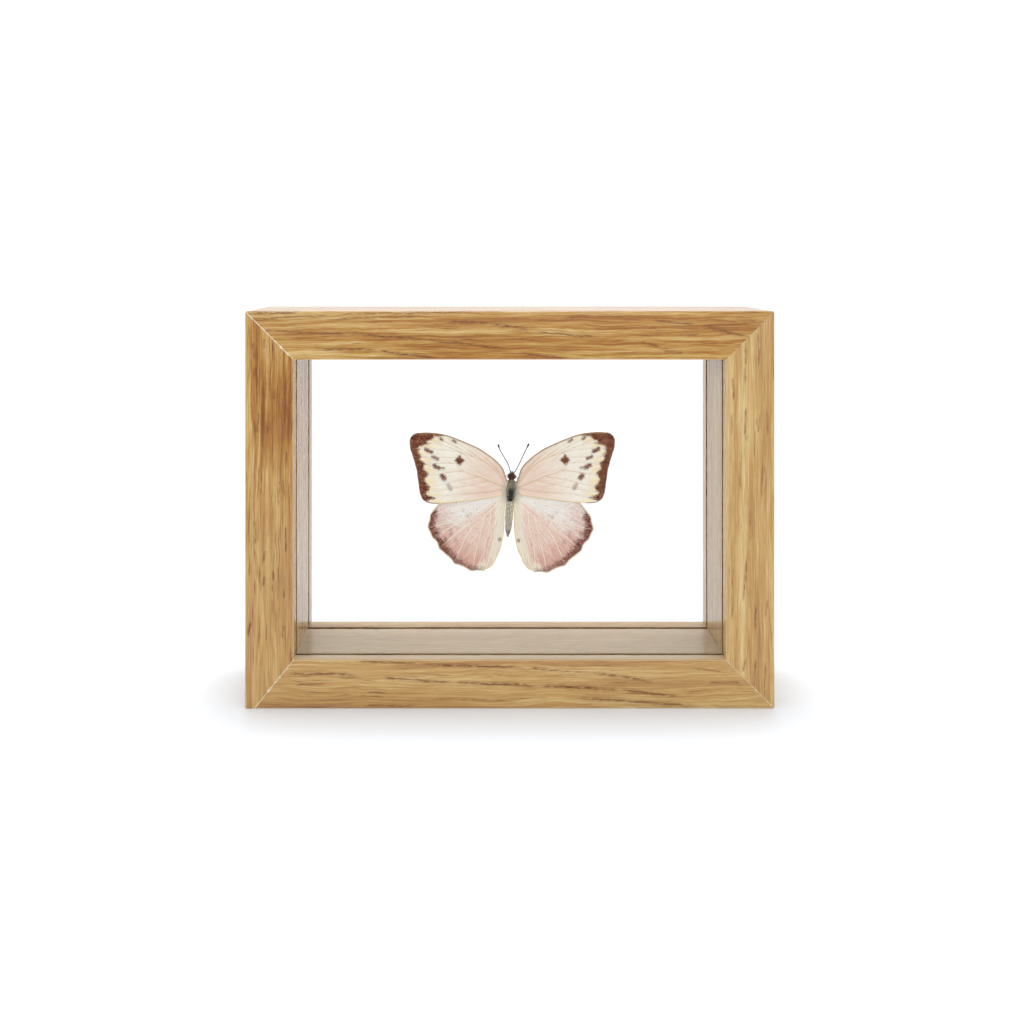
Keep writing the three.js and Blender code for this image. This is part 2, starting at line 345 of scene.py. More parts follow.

# each rail: how it is turned about y, the place of its outer face's middle, its ends, and its wood.
# tone, patch, pale and the painted light, which goes on the faces round the opening alone, are fitted. A line
# is dark open grain on the front from (x, z) to (x, z), with half its width and how dark it is
rails = {
    "bottom_rail": {
        "turn": 0, "place": (0, 0), "ends": ("bottomLeft", "bottomRight"), "seed": 11.3,
        "tone": 0.5, "patch": None, "pores": 0.62, "drift": 2.4, "pale": 0.3, "paintedLight": 0.5,
        "lines": [
            ((-52.1, 16.2), (-30.3, 15.0), 0.2, 0.8), ((-31.0, 15.3), (5.8, 14.0), 0.22, 0.9),
            ((5.1, 14.0), (28.2, 12.1), 0.16, 0.8), ((27.5, 12.3), (49.3, 9.0), 0.2, 0.9),
            ((-44.3, 10.5), (-18.4, 8.8), 0.2, 0.8), ((-19.1, 8.9), (10.2, 7.7), 0.24, 0.9),
            ((9.5, 7.8), (37.8, 6.3), 0.28, 0.95), ((37.1, 6.5), (57.8, 4.1), 0.22, 0.8),
            ((22.1, 3.4), (65.0, 1.0), 0.26, 0.75), ((67.4, 9.1), (79.0, 8.7), 0.18, 0.8),
            ((-76.0, 11.9), (-51.1, 11.4), 0.26, 0.8), ((-72.9, 8.2), (-62.3, 8.5), 0.14, 0.6),
            ((-51.4, 4.3), (-42.6, 4.1), 0.14, 0.5), ((-49.7, 1.1), (-30.7, 0.9), 0.18, 0.6),
            ((-27.3, 3.4), (3.4, 2.4), 0.12, 0.5), ((61.3, 13.6), (73.2, 12.3), 0.12, 0.6),
        ],
    },
    "top_rail": {
        "turn": 180, "place": (0, 135), "ends": ("topRight", "topLeft"), "seed": 3.1,
        "tone": 0.42, "patch": None, "pores": 0.63, "drift": 2.2, "pale": 0, "paintedLight": 0.3,
        "lines": [
            ((-88.9, 134.3), (-71.5, 134.6), 0.2, 0.9), ((-87.5, 132.4), (-59.6, 133.8), 0.14, 0.75),
            ((-61.7, 132.1), (-28.3, 133.5), 0.14, 0.7), ((-60.3, 134.0), (-10.2, 134.7), 0.14, 0.75),
            ((-83.8, 128.8), (-69.5, 127.5), 0.2, 0.8), ((-70.5, 127.5), (-53.8, 127.3), 0.16, 0.85),
            ((-54.9, 127.5), (-26.9, 125.3), 0.2, 0.95), ((-28.9, 125.5), (-0.4, 122.1), 0.16, 0.85),
            ((3.7, 120.9), (20.4, 118.5), 0.16, 0.8), ((-21.5, 131.5), (-6.5, 131.1), 0.18, 0.9),
            ((-7.5, 131.1), (7.5, 128.4), 0.24, 0.95), ((6.8, 128.4), (30.9, 126.0), 0.2, 0.8),
            ((-66.8, 122.5), (-44.6, 121.9), 0.2, 0.85), ((-45.0, 121.9), (-23.9, 118.9), 0.2, 0.95),
            ((48.7, 131.6), (63.3, 130.7), 0.18, 0.85), ((66.4, 129.6), (81.7, 126.3), 0.2, 0.85),
            ((44.2, 124.3), (51.0, 123.3), 0.18, 0.8), ((52.1, 121.7), (59.2, 120.9), 0.18, 0.85),
            ((67.7, 131.7), (86.4, 131.8), 0.1, 0.6), ((17.0, 132.8), (44.2, 133.5), 0.12, 0.6),
        ],
    },
    "left_rail": {
        "turn": 90, "place": (-90, 67.5), "ends": ("topLeft", "bottomLeft"), "seed": 7.7,
        "tone": 0.45, "patch": (-80, 100, 24), "pores": 0.585, "drift": 1.2, "pale": 0.3, "paintedLight": 0,
        "lines": [
            ((-87.2, 125.0), (-86.7, 118.5), 0.16, 0.8), ((-83.5, 125.6), (-83.5, 122.2), 0.16, 0.8),
            ((-80.5, 124.6), (-80.3, 118.1), 0.18, 0.9), ((-86.5, 116.8), (-85.5, 105.5), 0.14, 0.75),
            ((-82.9, 111.3), (-82.8, 105.5), 0.14, 0.7), ((-80.0, 108.6), (-79.8, 104.9), 0.18, 0.9),
            ((-76.3, 111.7), (-76.3, 105.9), 0.14, 0.7), ((-85.7, 101.1), (-85.6, 93.3), 0.16, 0.75),
            ((-82.6, 98.1), (-82.3, 93.3), 0.22, 0.85), ((-76.3, 87.5), (-76.1, 81.7), 0.16, 0.8),
            ((-84.5, 81.0), (-84.8, 70.8), 0.14, 0.6), ((-78.3, 77.6), (-78.0, 69.1), 0.14, 0.6),
            ((-86.5, 64.0), (-86.7, 55.5), 0.16, 0.7), ((-76.0, 62.0), (-76.1, 52.8), 0.16, 0.85),
            ((-83.1, 53.8), (-83.8, 49.4), 0.18, 0.85), ((-80.4, 47.3), (-80.4, 39.2), 0.18, 0.85),
            ((-83.5, 44.9), (-83.8, 41.5), 0.16, 0.7), ((-76.6, 40.5), (-76.6, 37.5), 0.18, 0.8),
            ((-88.2, 29.6), (-89.1, 24.2), 0.2, 0.9), ((-77.0, 28.3), (-77.0, 23.8), 0.18, 0.85),
        ],
    },
    "right_rail": {
        "turn": -90, "place": (90, 67.5), "ends": ("bottomRight", "topRight"), "seed": 19.9,
        "tone": 0.6, "patch": None, "pores": 0.65, "drift": 0.9, "pale": 0.3, "paintedLight": 0,
        "lines": [
            ((80.1, 125.3), (80.2, 110.3), 0.13, 0.8), ((84.1, 127.7), (84.5, 114.7), 0.13, 0.8),
            ((75.9, 112.4), (76.1, 104.5), 0.13, 0.8), ((80.2, 102.5), (80.2, 90.6), 0.14, 0.85),
            ((75.6, 100.1), (75.6, 92.6), 0.12, 0.6), ((87.6, 101.1), (87.8, 92.3), 0.12, 0.65),
            ((84.7, 100.1), (84.7, 93.3), 0.12, 0.65), ((78.3, 87.8), (78.6, 73.5), 0.12, 0.6),
            ((85.8, 86.1), (85.4, 70.8), 0.12, 0.55), ((81.7, 69.1), (81.3, 55.5), 0.12, 0.6),
            ((80.7, 51.1), (79.3, 36.4), 0.14, 0.8), ((75.9, 47.7), (75.6, 40.9), 0.12, 0.65),
            ((76.2, 36.8), (75.3, 30.0), 0.12, 0.6), ((83.5, 35.8), (83.2, 26.9), 0.14, 0.85),
            ((79.6, 17.0), (79.1, 12.3), 0.15, 0.8), ((83.5, 17.0), (83.2, 6.8), 0.14, 0.85),
            ((87.1, 16.0), (86.4, 1.4), 0.13, 0.65), ((87.5, 37.5), (87.1, 31.0), 0.12, 0.6),
        ],
    },
}


def trim(point, direction):
    bpy.ops.mesh.select_all(action="SELECT")
    bpy.ops.mesh.bisect(plane_co=[v * mm for v in point], plane_no=direction, use_fill=True, clear_outer=True)


# a rail lies along x, its outer face down, and its two ends are cut back to the corner seams
def cutEnd(length, side, lying, seam):
    wide, foot, joint = oakFrame["rail"], seam["foot"], oakFrame["joint"]
    if lying:
        start, direction = (side * (length / 2 - foot), 0, 0), Vector((side * wide, 0, wide - foot))
    else:
        start, direction = (side * length / 2, 0, foot), Vector((side * (wide - foot), 0, wide))
    direction.normalize()
    trim(Vector(start) - direction * joint, direction)
    if foot and not lying:
        trim((side * length / 2, 0, 0), (side, 0, 0))
    easing = oakFrame["corner"]
    for turn in (15, 30, 45, 60, 75):
        out = Vector((side * math.cos(math.radians(turn)), 0, -math.sin(math.radians(turn))))
        trim(Vector((side * (length / 2 - easing), 0, easing)) + out * easing, out)


def addRail(name, rail):
    lying = rail["turn"] in (0, 180)
    length = oakFrame["width"] if lying else oakFrame["height"]
    half, wide = oakFrame["depth"] / 2, oakFrame["rail"]
    reach = length / 2 + oakFrame["spare"]
    piece = addBlock(name + "_oak", (-reach, -half, 0), (reach, half, wide))
    editing(piece, "EDGE")
    choose(piece, "EDGE", lambda edge: abs(edge.verts[0].co.x - edge.verts[1].co.x) > mm)
    bpy.ops.mesh.subdivide(number_cuts=oakFrame["slices"])
    faceEdge = lambda v: min(abs(v.co.z), abs(v.co.z - wide * mm)) < 1e-5
    corner = lambda v: abs(abs(v.co.y) - half * mm) < 1e-5 and faceEdge(v)
    long = lambda edge: abs(edge.verts[0].co.x - edge.verts[1].co.x) > 1e-4
    choose(piece, "EDGE", lambda edge: long(edge) and corner(edge.verts[0]) and corner(edge.verts[1]))
    bpy.ops.mesh.bevel(offset=oakFrame["arris"] * mm, segments=4, affect="EDGES")
    front, back, groove = oakFrame["frontLip"] - half, half - oakFrame["backLip"], oakFrame["groove"]
    mouths = [(front, front + groove), (back - groove, back)]
    for edge in (v for mouth in mouths for v in mouth):
        bpy.ops.mesh.select_all(action="SELECT")
        bpy.ops.mesh.bisect(plane_co=(0, edge * mm, 0), plane_no=(0, 1, 0))
    inMouth = lambda y: any(a * mm < y < b * mm for a, b in mouths)
    choose(piece, "FACE", lambda face: face.normal.z > 0.9 and inMouth(face.calc_center_median().y))
    bpy.ops.mesh.extrude_region_move(TRANSFORM_OT_translate={"value": (0, 0, -oakFrame["grooveDepth"] * mm)})
    for side, end in zip((-1, 1), rail["ends"]):
        cutEnd(length, side, lying, seams[end])
    bpy.ops.object.mode_set(mode="OBJECT")
    edges = [v * mm for mouth in mouths for v in mouth]
    for vertex in piece.data.vertices:
        if vertex.co.z > (wide - 0.01) * mm and min(abs(vertex.co.y - v) for v in edges) < 1e-5:
            wander = noise.noise(Vector((vertex.co.x * 420, vertex.co.y * 900, rail["seed"])))
            vertex.co.y += wander * oakFrame["ragged"] * 2 * mm
            vertex.co.z -= abs(wander) * oakFrame["ragged"] * mm
    turned = Matrix.Rotation(math.radians(rail["turn"]), 4, "Y")
    x, z = rail["place"]
    piece.data.transform(Matrix.Translation((x * mm, 0, z * mm)) @ turned)
    deselectAll()
    piece.select_set(True)
    bpy.context.view_layer.objects.active = piece
    bpy.ops.object.shade_smooth_by_angle(angle=math.radians(35))
    dress(piece, oakMaterial(name, rail, lying), "oak", name)


# how dark a long line of open grain is here, drawn between two places on the rail's front
def grainLine(along, level, lying, line):
    start, end, width, dark = line
    (a, b), (c, d) = (start, end) if lying else (start[::-1], end[::-1])
    share = (along - a) / (c - a)
    off = abs(level - (share * (d - b) + b))
    body = step(off, width * 2, width * 0.5) * 0.6 + step(off, width * 6, width) * 0.4
    return body * step(share, -0.04, 0.16) * step(share, 1.04, 0.8) * dark


# the white glue that shows in a corner's seam
def glueSeam(x, z, speck, end):
    seam = seams[end]
    width, height, wide = oakFrame["width"], oakFrame["height"], oakFrame["rail"]
    sideX = -1 if "Left" in end else 1
    top = "top" in end
    outer = (sideX * (width / 2 - seam["foot"]), height if top else 0)
    inner = (sideX * (width / 2 - wide), height - wide if top else wide)
    across = Vector((outer[1] - inner[1], inner[0] - outer[0])).normalized()
    off = abs((x - outer[0]) * across.x + (z - outer[1]) * across.y)
    bead = step(speck, 0.54, 0.72) * 0.28
    line = step(off - bead, seam["width"] + 0.08, seam["width"] - 0.08)
    return line * step(speck, 0.22, 0.44) * seam["white"]


def oakMaterial(name, rail, lying):
    material, shade = newMaterial(name + "_wood")
    x, y, z = places(shade)
    along, across = (x, z) if lying else (z, x)
    seed = rail["seed"]
    wander = (grain(vector(along / 46 + seed, across / 15, y / 34), 1, 2) - 0.5) * rail["drift"] * 2
    ripple = (grain(vector(along / 7 + seed, across / 5, y / 9), 1, 2) - 0.5) * 1.1
    level = across + wander + ripple * 0.5
    broad = grain(vector(along / 75 + seed, level / 2.6, y / 4), 1, 3, 0.55)
    streak = grain(vector(along / 16 + seed, level / 0.42, y / 0.6), 1, 4, 0.6)
    fine = grain(vector(along / 3.2, level / 0.17, y / 0.2 + seed), 1, 2, 0.6)
    tone = broad * 0.5 + streak * 0.5 + (fine - 0.5) * 0.16 + (rail["tone"] - 0.5) * 0.14
    if rail["patch"]:
        px, pz, size = rail["patch"]
        near = step(abs(z - pz), size, size * 0.2) * step(abs(x - px), 9, 2)
        tone = tone - near * 0.07
    wood = ramp(tone, [(0.33, (114, 62, 16)), (0.42, (148, 96, 34)), (0.5, (168, 126, 60)),
                       (0.57, (184, 151, 92)), (0.68, (206, 182, 134))])
    paler = step(z, 105, 45) * rail["pale"] if rail["patch"] else rail["pale"]
    wood = mixed(paler, wood, screen(190, 164, 118))
    # open pores, in short dashes that crowd into some of the growth rings
    ring = grain(vector(along / 60 + seed, level / 1.5, y / 3), 1, 1)
    dash = grain(vector(along / 10, level / 0.5, y / 0.5 + seed), 1, 3, 0.55)
    crowd = step(ring, 0.42, 0.6)
    pore = step(dash, rail["pores"] - 0.06, rail["pores"] + 0.07) * (crowd * 0.7 + 0.3)
    wood = mixed(pore * 0.75, wood, screen(112, 62, 22))
    # the long dark lines, broken up and wandering a little
    lineLevel = across + (grain(vector(along / 9 + seed, across / 9, 0), 1, 2) - 0.5) * 1.6
    lines = None
    for line in rail["lines"]:
        drawn = grainLine(along, lineLevel, lying, line)
        lines = drawn if lines is None else lines.maths("MAXIMUM", lines, drawn)
    broken = grain(vector(along / 2.4, across / 0.5, seed), 1, 2, 0.6)
    lines = lines * (step(broken, 0.36, 0.56) * 0.8 + 0.2) * step(y, -4, -14)
    wood = mixed(lines, wood, screen(102, 52, 14))
    speck = grain(vector(x, y * 0.6, z), 0.7, 3, 0.6)
    glue = glueSeam(x, z, speck, rail["ends"][0])
    glue = glue.maths("MAXIMUM", glue, glueSeam(x, z, speck, rail["ends"][1]))
    wood = mixed(glue * 0.8, wood, screen(232, 222, 200))
    # painted shade inside the saw-cut grooves
    inside = abs(across - (oakFrame["height"] / 2 if lying else 0))
    deep = inside - ((oakFrame["height"] if lying else oakFrame["width"]) / 2 - oakFrame["rail"])
    half, middle = oakFrame["depth"] / 2, oakFrame["groove"] / 2
    near = abs(y + (half - oakFrame["frontLip"] - middle)), abs(y - (half - oakFrame["backLip"] - middle))
    slot = step(near[0].maths("MINIMUM", *near), middle + 0.2, middle - 0.05)
    grooveShadeDepth = step(deep, 0.15, 0.9) * step(deep, oakFrame["grooveDepth"] + 1, oakFrame["grooveDepth"] + 0.3)
    wood = mixed(grooveShadeDepth * slot * 0.7, wood, screen(108, 62, 26))
    # painted light on the faces round the opening, lightened as the picture has them
    rim = step(abs(deep), 0.6, 0.15) * step(y, 0.2 - half, 0.8 - half) * step(y, *oakFrame["paintedLightTo"])
    wood = mixed(rim * rail["paintedLight"], wood, screen(244, 228, 202))
    # painted highlight along the eased edge round the opening
    edgeHighlight = step(abs(deep), 0.5, 0.1) * step(y, 1.6 - half, 0.7 - half)
    wood = mixed(edgeHighlight * 0.5, wood, screen(214, 184, 136))
    height = streak * 0.4 + fine * 0.25 - pore * 0.5 - lines * 0.6
    rough = 0.2 + streak * 0.1 + pore * 0.2
    surface(shade, Base_Color=wood, Roughness=rough, Normal=bump(height, 0.35, 0.1), IOR=1.5,
            **oakFrame["finish"])
    return material


# Glass and glue

panes = {"ease": 0.25, "ior": 1.5, "gloss": 0.15}   # gloss well below glass's own
glassTint = (0.1, 0.1, 0.1, 1)                      # of what the panes and the dab reflect
dab = {"place": (1.05, 10.35, 68.3), "radius": 1.9, "depth": 1.0, "ior": 1.47}


# clear to lamps, so that what stands behind the pane is lit through it
def clearMaterial(name, colour, rough, ior, gloss):
    material, shade = newMaterial(name)
    x, y, z = places(shade)
    haze = grain(vector(x, y, z), 0.05, 2) * 0.004 + rough
    sockets = {"Base Color": colour, "Roughness": haze, "IOR": ior, "Transmission Weight": 1.0,
               "Specular IOR Level": gloss, "Specular Tint": glassTint}
    body = shade.node("ShaderNodeBsdfPrincipled", None, sockets)
    letThrough = shade.node("ShaderNodeBsdfTransparent", None, {0: (0.98, 0.985, 0.98, 1)})
    lamp = shade.node("ShaderNodeLightPath", out=1)
    both = shade.node("ShaderNodeMixShader", None, {0: lamp, 1: body, 2: letThrough})
    shade.node("ShaderNodeOutputMaterial", None, {"Surface": both})
    return material


def addPane(name, material):
    low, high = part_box(name)
    piece = addBlock(name + "_pane", [v / mm for v in low], [v / mm for v in high])
    editing(piece, "EDGE")
    bpy.ops.mesh.select_all(action="SELECT")
    bpy.ops.mesh.bevel(offset=panes["ease"] * mm, segments=2, affect="EDGES")
    bpy.ops.object.mode_set(mode="OBJECT")
    dress(piece, material, "glass", name)


def addDab():
    deselectAll()
    x, y, z = dab["place"]
    bpy.ops.mesh.primitive_uv_sphere_add(segments=40, ring_count=24, radius=mm)
    piece = startPiece("glue_dab_bead")
    editing(piece, "FACE")
    trim((0, 0, 0), (0, 1, 0))
    bpy.ops.object.mode_set(mode="OBJECT")
    for vertex in piece.data.vertices:
        lump = 1 + 0.08 * noise.noise(vertex.co * 900)
        across, up = vertex.co.x * dab["radius"] * lump, vertex.co.z * dab["radius"] * lump
        vertex.co = Vector((x * mm + across, y * mm + vertex.co.y * dab["depth"], z * mm + up))
    smoothFaces(piece)
    clear = clearMaterial("clear_glue_bead", screen(250, 244, 226), 0.08, dab["ior"], 0.5)
    dress(piece, clear, "clear_glue", "glue_dab")


# Wings

butterfly = {
    "place": (1.6, 6.85, 69),   # the wings' middle, on the body's axis
    "lean": 3.7,                 # degrees, the abdomen's tip towards the left
    "shift": -0.55,              # the body stands this far left of the wings' middle
}

wingForm = {
    "size": 0.992,
    "reach": 37,
    "rootRise": 1.1,
    "tipRise": 1.4,
    "camber": 0.5,
    "thickness": 0.14,
    "rimSteps": 460,
    "rings": 58,
    "veinHeight": 0.075,
    "fluting": 0.13,
}

# outlines, veins and markings on a wing's own plane: millimetres out from the midline, and up
forewing = {
    "outline": [
        (1.4, 1.8), (2.2, 4.6), (3.2, 7.5), (4.9, 9.7), (8.2, 12.6), (11.8, 15), (17.3, 17.6),
        (22.8, 19.8), (26.4, 20.6), (30.1, 21), (33.7, 20.9), (35.9, 20.3), (37, 19.1), (37.3, 17.5),
        (37, 15), (36.1, 12.2), (34.8, 7.3), (34.1, 2.6), (33.5, -1.1), (32.6, -3.2), (30.8, -4.5),
        (26.4, -4.9), (19.1, -4.3), (10.7, -3.4), (5.6, -2.6), (1.6, -1.3),
    ],
    "root": (1.5, 0.8),
    "drop": 0,
    "veins": {
        "subcostal": [(2.4, 2.6), (4.3, 5.9), (8.0, 9.9), (11.6, 13.0), (15.2, 15.6), (18.9, 17.4),
                      (21.8, 18.9)],
        "radial": [(2.4, 1.9), (5.4, 6.1), (8.0, 8.7), (10.9, 10.7), (13.4, 11.8), (17.1, 13.0),
                   (20.7, 14.1), (24.4, 14.7), (29.8, 15.0), (36.6, 15.0)],
        "radial1": [(10.9, 10.7), (15.2, 13.9), (18.9, 16.3), (22.5, 18.3), (25.1, 19.8)],
        "radial2": [(13.8, 11.9), (18.9, 14.9), (22.5, 16.7), (26.2, 18.5), (29.1, 20.4)],
        "radial3": [(17.1, 13.0), (22.5, 15.4), (26.9, 16.7), (31.7, 17.6), (36.9, 18.0)],
        "cellEnd": [(18.5, 13.0), (19.3, 11.9), (20.0, 9.7), (20.2, 8.8)],
        "medial1": [(19.3, 11.9), (24.4, 11.9), (29.8, 12.1), (36.2, 12.3)],
        "medial2": [(20.0, 9.7), (24.4, 9.9), (29.1, 9.7), (35.5, 9.4)],
        "cubital": [(2.2, 0.4), (4.3, 1.4), (7.2, 2.6), (9.8, 3.7), (12.3, 4.8), (15.2, 5.7), (17.8, 7.0),
                    (20.2, 8.8)],
        "medial3": [(17.8, 7.0), (20.7, 6.8), (24.4, 6.3), (28.0, 5.6), (34.6, 4.8)],
        "cubital1": [(12.3, 4.8), (16.0, 4.1), (19.6, 3.5), (23.3, 2.6), (26.9, 1.7), (33.9, 0.8)],
        "cubital2": [(9.0, 3.2), (13.4, 2.1), (18.2, 1.2), (23.3, 0.3), (28.0, -0.5), (33.7, -1.2)],
        "anal": [(2.4, 0.3), (8.0, -0.8), (13.4, -1.2), (18.9, -1.4), (23.6, -1.9), (27.3, -2.7),
                 (32.4, -3.5)],
    },
    "border": [
        (24.0, 20.6), (26.2, 19.6), (28.4, 19.4), (29.5, 18.3), (30.9, 17.8), (29.8, 17.2), (31.7, 16.5),
        (33.1, 16.1), (34.2, 15.5), (33.5, 15.0), (34.2, 13.9), (33.1, 12.9), (33.5, 11.4), (32.8, 10.5),
        (31.7, 9.6), (32.2, 8.3), (32.0, 7.4), (30.6, 6.3), (30.9, 5.0), (31.7, 4.1), (31.3, 2.6),
        (30.0, 1.5), (30.2, 0.1), (31.3, -1.4), (29.8, -2.1), (27.7, -3.0), (29.8, -3.6), (31.7, -4.4),
    ],
    "beyond": [(42, -8), (48, 8), (44, 28), (24, 26)],
    # strokes of brown scales: their points, half their width, and how dark they are
    "spots": [
        ([(19.2, 10.8)], 1.3, 1), ([(31.4, 14.8), (29.6, 13.9)], 0.6, 1),
        ([(28.8, 12.0), (27.3, 11.4)], 0.45, 0.95), ([(28.3, 8.9), (26.8, 8.1)], 0.7, 0.95),
        ([(26.8, 8.1), (25.0, 8.0)], 0.3, 0.8), ([(25.5, 5.1), (24.8, 4.3)], 0.8, 0.95),
        ([(23.3, 1.9), (22.5, 0.4)], 0.6, 0.5), ([(26.2, 18.9), (25.7, 18.4)], 0.35, 0.85),
        ([(21.6, 18.2), (20.7, 17.6)], 0.35, 0.85),
    ],
    "scallop": 0.1,
    "fringe": 0.35,
    "margin": (0.4, 0.72),      # the outer margin's share of the way round the outline
}
hindwing = {
    "outline": [
        (1.6, -1.8), (3.8, -1.2), (7.6, -0.5), (13.6, -0.2), (20.2, -1.5), (25, -3.5), (27.7, -5.9),
        (29.3, -8), (30.3, -10.6), (30.9, -13), (30, -16.1), (27.8, -19.3), (26.1, -22.3), (23.1, -25),
        (20.9, -27.1), (18, -28.4), (15.5, -29.6), (11.8, -29.7), (8.5, -29), (6.7, -27.2),
        (5.6, -24.9), (4.3, -21.8), (3.4, -17.9), (3, -13.9), (2.9, -9.1), (2.6, -5.5), (1.7, -3.6),
    ],
    "root": (2.2, -2.6),
    "drop": 0.9,
    "veins": {
        "subcostal": [(3.5, -2.5), (8.2, -3.2), (11.8, -4.1), (15.4, -5.2), (19.1, -5.9), (22.7, -6.9),
                      (25.7, -7.8), (29.9, -9.4)],
        "radial": [(3.5, -2.8), (8.9, -5.4), (13.3, -8.0), (16.9, -10.0), (22.7, -12.0), (30.8, -13.8)],
        "medial1": [(16.9, -10.0), (20.2, -12.3), (23.8, -14.5), (29.2, -17.4)],
        "medial2": [(15.8, -12.3), (19.5, -15.3), (22.4, -17.6), (26.8, -21.4)],
        "cellEnd": [(16.9, -10.0), (15.8, -12.3), (15.1, -14.2)],
        "cell": [(3.2, -3.4), (7.8, -7.6), (10.3, -10.1), (12.9, -12.7), (15.1, -14.2)],
        "medial3": [(15.1, -14.2), (16.9, -17.1), (18.7, -20.7), (21.2, -27.0)],
        "cubital1": [(10.3, -10.1), (11.4, -14.5), (12.3, -18.9), (13.6, -23.6), (14.8, -29.6)],
        "cubital2": [(7.8, -7.6), (8.5, -13.8), (10.0, -20.0), (11.0, -29.4)],
        "anal": [(3.1, -3.9), (6.0, -10.9), (6.7, -18.2), (7.8, -22.9), (8.7, -28.9)],
        "anal3": [(3.0, -4.3), (4.1, -10.9), (4.5, -16.3), (5.6, -23.5)],
    },
    "border": [
        (28.9, -5.6), (27.9, -8.3), (28.0, -10.9), (28.4, -13.4), (27.1, -15.6), (27.3, -17.4), (24.6, -18.5),
        (24.2, -20.7), (22.4, -22.5), (20.2, -24.4), (18.4, -25.5), (16.9, -26.6), (14.4, -27.7),
        (11.8, -28.4), (10.3, -29.3),
    ],
    "beyond": [(8, -36), (30, -36), (42, -12), (31, -3)],
    "spots": [
        ([(18.0, -7.8), (18.0, -7.9)], 0.45, 0.22), ([(16.5, -9.6), (16.4, -9.7)], 0.45, 0.3),
        ([(15.3, -9.0), (15.2, -9.1)], 0.3, 0.3), ([(22.7, -14.9), (22.6, -16.3)], 0.4, 0.35),
        ([(20.9, -18.2), (20.7, -18.9)], 0.5, 0.3), ([(4.7, -18.4), (4.7, -18.6)], 0.45, 0.8),
    ],
    "scallop": 0.3,
    "fringe": 0.55,
    "margin": (0.26, 0.68),
}
wings = {
    "left_forewing": {**forewing, "side": -1, "outwards": 0.2, "up": 0, "stretch": 1, "turn": 0},
    "right_forewing": {**forewing, "side": 1, "outwards": 0, "up": 0.2, "stretch": 1, "turn": 0},
    "left_hindwing": {**hindwing, "side": -1, "outwards": 0, "up": 0, "stretch": 1, "turn": 0},
    "right_hindwing": {**hindwing, "side": 1, "outwards": -2.3, "up": -0.4, "stretch": 1.035, "turn": 0.8},
}


# a smooth line through points, drawn with steps that follow the points' own spacing
def smoothLine(points, closed=False, each=10):
    given = np.array(points, float)
    if closed:
        given = np.vstack([given[-1], given, given[:2]])
    else:
        given = np.vstack([2 * given[0] - given[1], given, 2 * given[-1] - given[-2]])
    drawn = []
    for a, b, c, d in zip(given[:-3], given[1:-2], given[2:-1], given[3:]):
        gaps = [math.sqrt(max(np.linalg.norm(q - p), 1e-6)) for p, q in ((a, b), (b, c), (c, d))]
        start = (b - a) / gaps[0] - (c - a) / (gaps[0] + gaps[1]) + (c - b) / gaps[1]
        end = (c - b) / gaps[1] - (d - b) / (gaps[1] + gaps[2]) + (d - c) / gaps[2]
        for t in np.arange(each) / each:
            h = (2 * t**3 - 3 * t**2 + 1, t**3 - 2 * t**2 + t, 3 * t**2 - 2 * t**3, t**3 - t**2)
            drawn.append(h[0] * b + h[1] * start * gaps[1] + h[2] * c + h[3] * end * gaps[1])
    if not closed:
        drawn.append(given[-2])
    return np.array(drawn)


def evenly(line, count, closed=False):
    if closed:
        line = np.vstack([line, line[:1]])
    far = np.concatenate([[0], np.cumsum(np.linalg.norm(np.diff(line, axis=0), axis=1))])
    wanted = np.linspace(0, far[-1], count + 1)[:-1] if closed else np.linspace(0, far[-1], count)
    return np.stack([np.interp(wanted, far, line[:, i]) for i in range(line.shape[1])], axis=1)


# how far each place is from a line, and how far along the line its nearest point is, from 0 to 1
def nearLine(line, spots):
    nearest = np.full(len(spots), 1e9)
    share = np.zeros(len(spots))
    for i, (a, b) in enumerate(zip(line[:-1], line[1:])):
        way = b - a
        t = np.clip(((spots - a) @ way) / max(way @ way, 1e-12), 0, 1)
        off = np.linalg.norm(spots - a - t[:, None] * way, axis=1)
        closer = off < nearest
        nearest[closer] = off[closer]
        share[closer] = (i + t[closer]) / (len(line) - 1)
    return nearest, share


def inside(corners, spots):
    within = np.zeros(len(spots), bool)
    x, z = spots[:, 0], spots[:, 1]
    for (ax, az), (bx, bz) in zip(corners, corners[1:] + corners[:1]):
        crosses = (az > z) != (bz > z)
        at = (bx - ax) * (z - az) / ((bz - az) or 1e-9) + ax
        within ^= crosses & (x < at)
    return within


def wingRise(out):
    reach = np.clip(out / wingForm["reach"], 0, 1)
    return wingForm["rootRise"] + wingForm["tipRise"] * reach + wingForm["camber"] * np.sin(np.pi * reach)


# where a place on a wing's plane comes to lie on the spread butterfly
def settled(wing, spots, lift):
    turn = math.radians(wing["turn"])
    x, z = spots[:, 0] * wing["stretch"] * wingForm["size"], spots[:, 1] * wingForm["size"]
    out = x * math.cos(turn) + z * math.sin(turn) + wing["outwards"]
    up = z * math.cos(turn) - x * math.sin(turn) + wing["up"]
    placed = np.stack([wing["side"] * out, wing["drop"] - wingRise(out) + lift, up], axis=1)
    return (placed + np.array(butterfly["place"])) * mm


